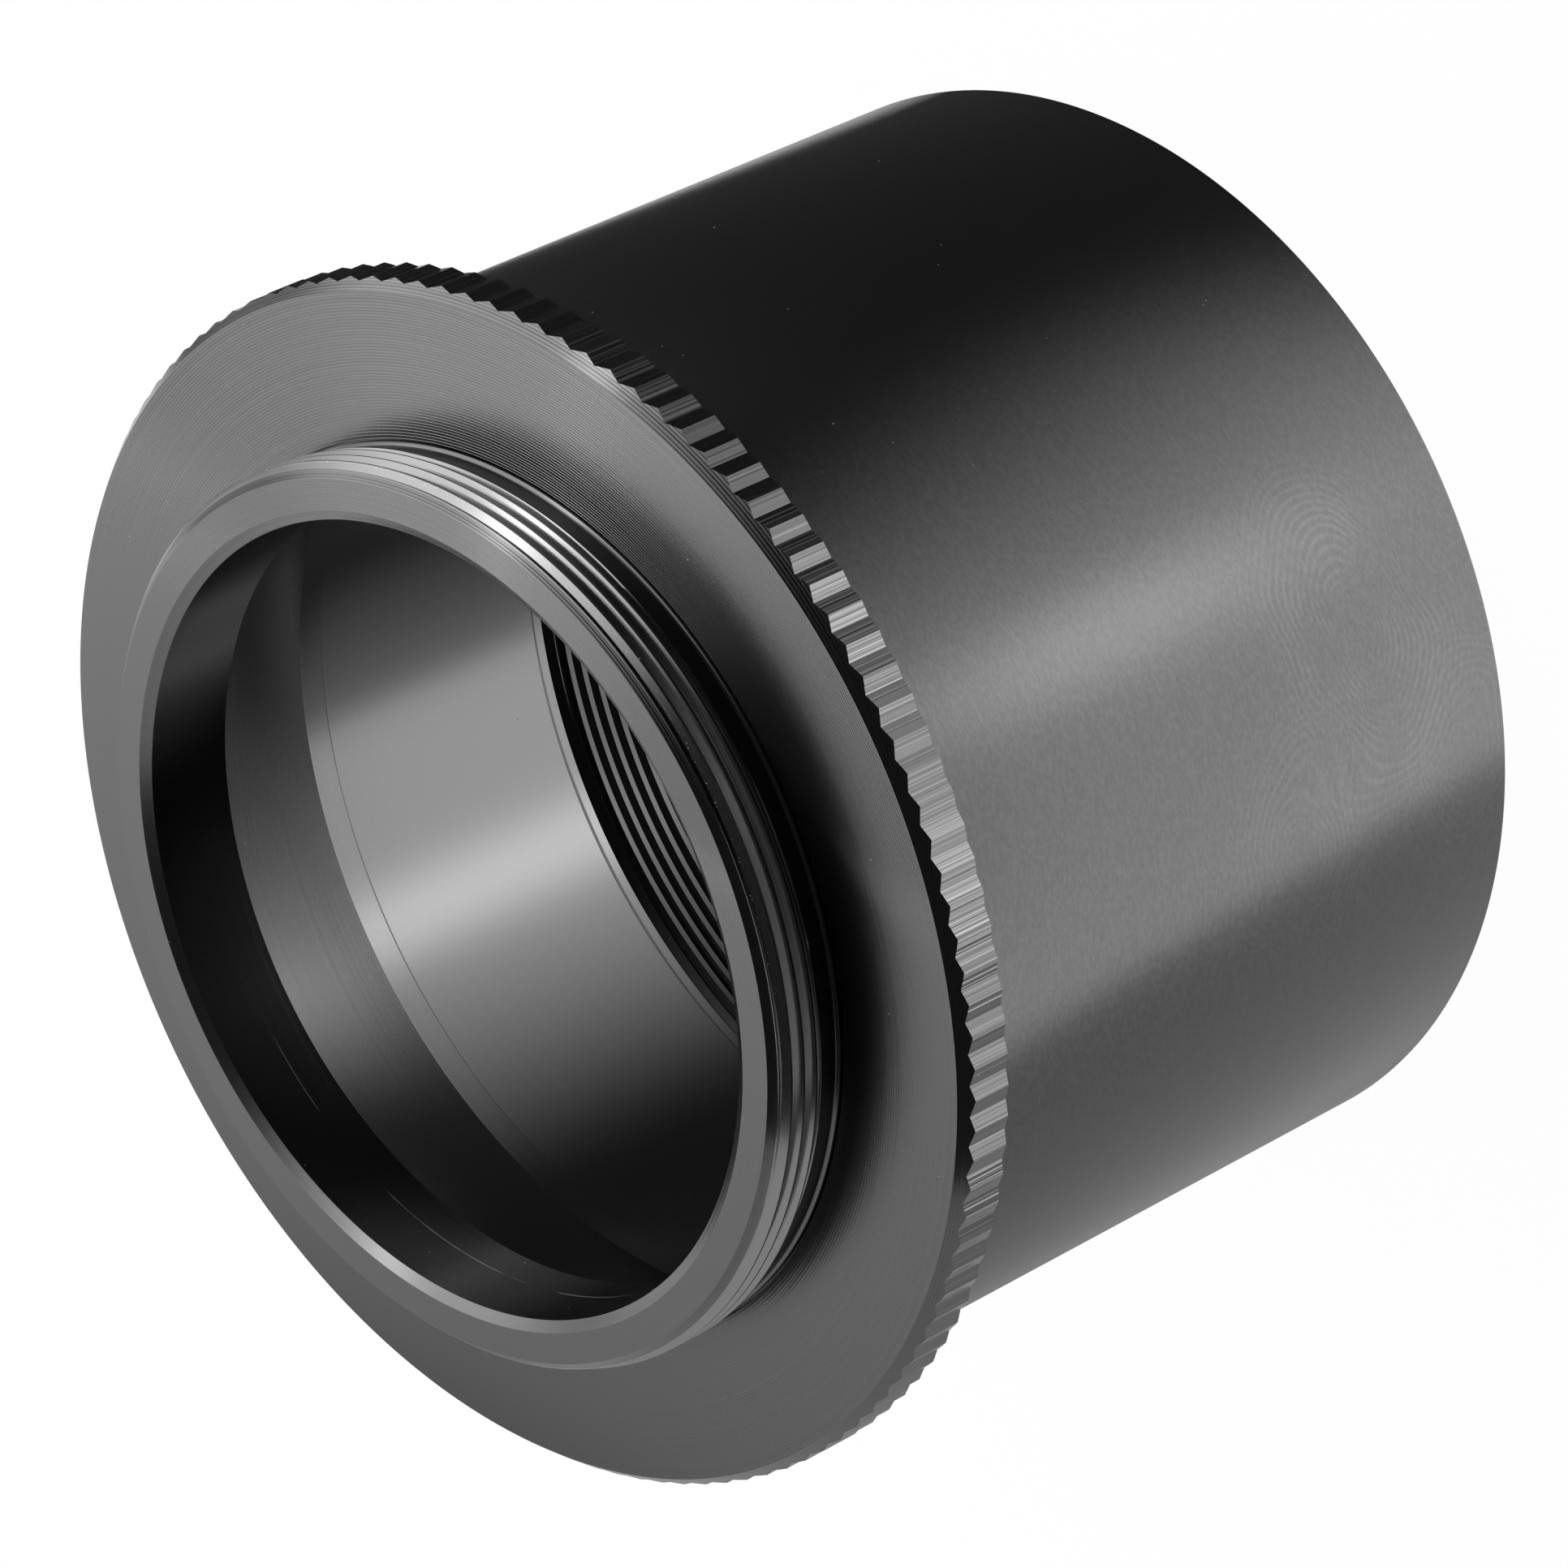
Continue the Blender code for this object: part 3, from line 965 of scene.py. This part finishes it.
def filter_thread(tree):
    """Ring with the filter thread inside the rear of the barrel."""
    thread = anodised("filter_thread_cut", 0.3, "height", 0.06 * MM, 0.03, level=THROAT_SPECULAR_LEVEL)
    profile = [
        (FILTER_GROOVE_RADIUS, FILTER_GROOVE_END, 0),
        (FILTER_RING_RADIUS, FILTER_GROOVE_END - 2.0 * LAP, 0),
        (FILTER_RING_RADIUS, 1.5 * LAP, 0),
        (FILTER_SEAT_RADIUS, 0.0, 0),
        (FILTER_CREST_RADIUS + THREAD_DEPTH, 0.0, 0),
    ]
    form = bmesh.new()
    lathe(form, profile, FILTER_COLUMNS, closed=False)
    ring = new_object("filter_thread", plain_mesh("filter_thread", form), (thread,))
    values = thread_values(thread, FILTER_COLUMNS, FILTER_ROWS_PER_PITCH, FILTER_CREST_FLAT,
                           FILTER_FIRST_CREST, 0.0, FILTER_GROOVE_END)
    values["Crest radius"] = FILTER_CREST_RADIUS
    values["Side"] = 1.0
    values["Start bevel"] = THREAD_DEPTH
    values["End bevel"] = FILTER_GROOVE_RADIUS - FILTER_CREST_RADIUS
    apply_tree(ring, tree, values)
    return ring


# Studio


def direction(azimuth, elevation):
    """Unit vector from two angles in degrees."""
    az = math.radians(azimuth)
    el = math.radians(elevation)
    return Vector((math.cos(az) * math.cos(el), math.sin(az) * math.cos(el), math.sin(el)))


def softbox_group():
    """A soft-edged bright field, placed by the three directions of its own frame."""
    tree = bpy.data.node_groups.new("softbox", "ShaderNodeTree")
    given, result = add_sockets(
        tree,
        (
            ("Direction", "NodeSocketVector", None),
            ("Middle", "NodeSocketVector", None),
            ("Sideways", "NodeSocketVector", None),
            ("Upwards", "NodeSocketVector", None),
            ("Left", "NodeSocketFloat", 0.5),
            ("Right", "NodeSocketFloat", 0.5),
            ("Left edge", "NodeSocketFloat", 0.1),
            ("Right edge", "NodeSocketFloat", 0.1),
            ("Half height", "NodeSocketFloat", 0.5),
            ("Height edge", "NodeSocketFloat", 0.1),
            ("Strength", "NodeSocketFloat", 1.0),
        ),
        (("Light", "NodeSocketFloat"),),
    )
    ahead = vector_calc(tree, "DOT_PRODUCT", given["Direction"], given["Middle"])
    aside = vector_calc(tree, "DOT_PRODUCT", given["Direction"], given["Sideways"])
    above = vector_calc(tree, "DOT_PRODUCT", given["Direction"], given["Upwards"])
    side = calc(tree, "ARCTAN2", aside, ahead)
    rise = calc(tree, "ABSOLUTE", calc(tree, "ARCSINE", above))
    light = given["Strength"]
    for value, limit, edge in (
        (calc(tree, "MULTIPLY", side, -1.0), given["Left"], given["Left edge"]),
        (side, given["Right"], given["Right edge"]),
        (rise, given["Half height"], given["Height edge"]),
    ):
        inner = calc(tree, "SUBTRACT", limit, edge)
        outer = calc(tree, "ADD", limit, edge)
        light = calc(tree, "MULTIPLY", light, ramp(tree, value, inner, outer, 1.0, 0.0))
    tree.links.new(light, result["Light"])
    return tree


# Each softbox: azimuth, elevation, reach to the left and right, their edges,
# half height and its edge, all in degrees, then its strength
SOFTBOXES = {
    "key": (95.0, 28.0, 28.0, 34.0, 26.0, 12.0, 42.0, 12.0, 5.8),
    "side_wall": (152.0, 4.0, 22.0, 30.0, 12.0, 12.0, 18.0, 10.0, 1.4),
    "low_front": (-19.0, -42.0, 60.0, 35.0, 3.0, 27.0, 26.0, 12.0, 6.6),
    "low_lamp": (-4.0, -34.0, 3.0, 3.0, 9.0, 9.0, 9.0, 11.0, 16.0),
    "backdrop": (178.0, 38.0, 30.0, 34.0, 10.0, 10.0, 20.0, 12.0, 4.0),
    "under": (0.0, -90.0, 16.0, 5.0, 20.0, 11.0, 12.0, 16.0, 4.2),
}
STUDIO_LEVEL = 0.5
ROOM_LIGHT = 0.1

# Streak of light: a great band across the studio, cut off at its foot and at one end
STREAK_AXIS = (-0.669, 0.743, 0.0)
STREAK_PLACE = 0.519
STREAK_WIDTH = 0.11
STREAK_FOOT = (0.0, 0.3)
STREAK_END = (-0.77, -0.6)
STREAK_LIGHT = 9.0


def light_streak(tree, look):
    """Mask of the streak, from the direction that is looked in."""
    parts = new_node(tree, "ShaderNodeSeparateXYZ")
    tree.links.new(look, parts.inputs[0])
    off = calc(tree, "SUBTRACT", vector_calc(tree, "DOT_PRODUCT", look, STREAK_AXIS), STREAK_PLACE)
    band = ramp(tree, calc(tree, "ABSOLUTE", off), 0.0, STREAK_WIDTH, 1.0, 0.0)
    foot = ramp(tree, parts.outputs["Z"], *STREAK_FOOT)
    end = ramp(tree, parts.outputs["X"], *STREAK_END)
    return calc(tree, "MULTIPLY", calc(tree, "MULTIPLY", band, foot), end)


def studio_world():
    """Soft studio: a large key light, smaller fields round it, a streak and a pale backdrop."""
    world = bpy.data.worlds.new("studio")
    bpy.context.scene.world = world
    world.use_nodes = True
    world.cycles.sampling_method = "NONE"
    tree = world.node_tree
    tree.nodes.clear()
    look = new_node(tree, "ShaderNodeTexCoord").outputs["Generated"]
    light = ROOM_LIGHT
    group = softbox_group()
    for name, spec in SOFTBOXES.items():
        azimuth, elevation, left, right, left_edge, right_edge, tall, tall_edge, power = spec
        middle = direction(azimuth, elevation)
        sideways = direction(azimuth + 90.0, 0.0)
        upwards = middle.cross(sideways)
        box = group_node(tree, group, Direction=look, Middle=middle, Sideways=sideways, Upwards=upwards,
                         Left=math.radians(left), Right=math.radians(right),
                         Left_edge=math.radians(left_edge), Right_edge=math.radians(right_edge),
                         Half_height=math.radians(tall), Height_edge=math.radians(tall_edge),
                         Strength=power)
        box.label = name
        light = calc(tree, "ADD", light, box.outputs["Light"])
    light = calc(tree, "MULTIPLY_ADD", light_streak(tree, look), STREAK_LIGHT, light)
    light = calc(tree, "MULTIPLY", light, STUDIO_LEVEL)
    seen = new_node(tree, "ShaderNodeLightPath").outputs["Is Camera Ray"]
    level = new_node(tree, "ShaderNodeMix", data_type="FLOAT")
    plug(tree, level.inputs["Factor"], seen)
    plug(tree, level.inputs["A"], light)
    plug(tree, level.inputs["B"], 1.0)
    background = new_node(tree, "ShaderNodeBackground")
    background.inputs["Color"].default_value = (1.0, 1.0, 1.0, 1.0)
    tree.links.new(level.outputs["Result"], background.inputs["Strength"])
    output = new_node(tree, "ShaderNodeOutputWorld")
    tree.links.new(background.outputs[0], output.inputs["Surface"])


# Round stand beside the part that glows white and shows only in reflections, with a painted shadow of the
# part and painted light at its far end
STAND_UP = (0.654, 0.753, 0.074)
STAND_MIDDLE = (-42.0 * MM, 3.5 * MM, -6.9 * MM)
STAND_RADIUS = 111.0 * MM
STAND_SIDES = 128
STAND_LIGHT = 2.1
SHADE_REACH = 24.0 * MM
SHADE_TOP = 30.0 * MM
SHADE_TOP_WEIGHT = 2.2
SHADE_BOTTOM = -25.0 * MM
SIDE_LIGHT = 0.004 / MM
TOP_LIGHT = 0.12
TOP_LIGHT_REACH = (25.0 * MM, 50.0 * MM)


def round_stand():
    """Pale disc that only glossy rays see: a glowing card in place of a lit white stand, darker under the
    part where a shadow of the part is painted.
    """
    up = Vector(STAND_UP).normalized()
    along = (Vector((0.0, 0.0, 1.0)) - up * up.z).normalized()
    across = up.cross(along)
    middle = Vector(STAND_MIDDLE)
    form = bmesh.new()
    rim = []
    for side in range(STAND_SIDES):
        angle = TURN * side / STAND_SIDES
        outwards = across * math.cos(angle) + along * math.sin(angle)
        rim.append(form.verts.new(middle + STAND_RADIUS * outwards))
    form.faces.new(rim)
    material = bpy.data.materials.new("white_stand")
    material.use_nodes = True
    material.cycles.emission_sampling = "NONE"
    tree = material.node_tree
    tree.nodes.clear()
    place = new_node(tree, "ShaderNodeTexCoord").outputs["Object"]
    sideways = vector_calc(tree, "DOT_PRODUCT", place, across)
    lengthways = vector_calc(tree, "DOT_PRODUCT", place, along)
    # Painted shadow: the glow fades out near the part, over the shade reach round its footprint.
    above = calc(tree, "MAXIMUM", calc(tree, "SUBTRACT", lengthways, SHADE_TOP), 0.0)
    above = calc(tree, "MULTIPLY", above, SHADE_TOP_WEIGHT)
    below = calc(tree, "MAXIMUM", calc(tree, "SUBTRACT", SHADE_BOTTOM, lengthways), 0.0)
    away = new_node(tree, "ShaderNodeCombineXYZ")
    plug(tree, away.inputs["X"], sideways)
    plug(tree, away.inputs["Y"], above)
    plug(tree, away.inputs["Z"], below)
    distance = vector_calc(tree, "LENGTH", away.outputs[0])
    fade = calc(tree, "EXPONENT", calc(tree, "DIVIDE", distance, -SHADE_REACH))
    glow = calc(tree, "MULTIPLY_ADD", fade, -STAND_LIGHT, STAND_LIGHT)
    # Painted light: the far end of the stand is lifted, more on one side than the other.
    beyond = ramp(tree, lengthways, *TOP_LIGHT_REACH)
    lift = calc(tree, "MULTIPLY", calc(tree, "MULTIPLY_ADD", sideways, -SIDE_LIGHT, TOP_LIGHT), beyond)
    glow = calc(tree, "MULTIPLY_ADD", glow, lift, glow)
    emission = new_node(tree, "ShaderNodeEmission")
    plug(tree, emission.inputs["Strength"], calc(tree, "MULTIPLY", glow, STUDIO_LEVEL))
    output = new_node(tree, "ShaderNodeOutputMaterial")
    tree.links.new(emission.outputs[0], output.inputs["Surface"])
    stand = new_object("round_stand", plain_mesh("round_stand", form), (material,))
    stand.visible_camera = False
    stand.visible_diffuse = False
    stand.visible_transmission = False
    stand.visible_shadow = False


FLOOR_RADIUS = 3.0
FLOOR_SIDES = 64
FLOOR_WHITE = (0.8, 0.8, 0.8, 1.0)
FLOOR_GLOW = 0.98


def studio_floor():
    """Pale floor that is white to the camera and keeps a trace of the part's shadow."""
    form = bmesh.new()
    bmesh.ops.create_circle(form, cap_ends=True, segments=FLOOR_SIDES, radius=FLOOR_RADIUS)
    material = bpy.data.materials.new("pale_floor")
    material.use_nodes = True
    tree = material.node_tree
    tree.nodes.clear()
    matte = new_node(tree, "ShaderNodeBsdfDiffuse")
    matte.inputs["Color"].default_value = FLOOR_WHITE
    glow = new_node(tree, "ShaderNodeEmission")
    rays = new_node(tree, "ShaderNodeLightPath").outputs
    direct = calc(tree, "MAXIMUM", rays["Is Camera Ray"], rays["Is Glossy Ray"])
    direct = calc(tree, "MAXIMUM", direct, rays["Is Transmission Ray"])
    mix = new_node(tree, "ShaderNodeMixShader")
    plug(tree, mix.inputs[0], calc(tree, "MULTIPLY", direct, FLOOR_GLOW))
    tree.links.new(matte.outputs[0], mix.inputs[1])
    tree.links.new(glow.outputs[0], mix.inputs[2])
    output = new_node(tree, "ShaderNodeOutputMaterial")
    tree.links.new(mix.outputs[0], output.inputs["Surface"])
    floor = new_object("studio_floor", plain_mesh("studio_floor", form), (material,))
    floor.visible_glossy = False
    floor.visible_shadow = False


CAMERA_PLACE = (0.302577, 0.0, 0.266451)
CAMERA_FORWARD = (-0.77608874, -0.00249211, -0.63061879)
CAMERA_UP = (0.26763391, 0.90416822, -0.33294433)
CAMERA_LENS = 199.69
CAMERA_SENSOR = 36.0
CAMERA_NEAREST = 0.01


def studio_camera():
    """Long lens in front of the part and above it, rolled so that the barrel lies over."""
    data = bpy.data.cameras.new("camera")
    data.lens = CAMERA_LENS
    data.sensor_width = CAMERA_SENSOR
    data.clip_start = CAMERA_NEAREST
    camera = bpy.data.objects.new("camera", data)
    bpy.context.scene.collection.objects.link(camera)
    back = -Vector(CAMERA_FORWARD).normalized()
    right = Vector(CAMERA_UP).cross(back).normalized()
    up = back.cross(right)
    axes = Matrix((right, up, back)).transposed()
    camera.matrix_world = Matrix.Translation(CAMERA_PLACE) @ axes.to_4x4()
    bpy.context.scene.camera = camera


bpy.context.scene.view_settings.view_transform = "Standard"
studio_camera()
studio_world()
round_stand()
studio_floor()
THREAD = thread_tree()
dress(focuser_barrel())
dress(knurled_flange())
dress(camera_boss(THREAD))
dress(filter_thread(THREAD))
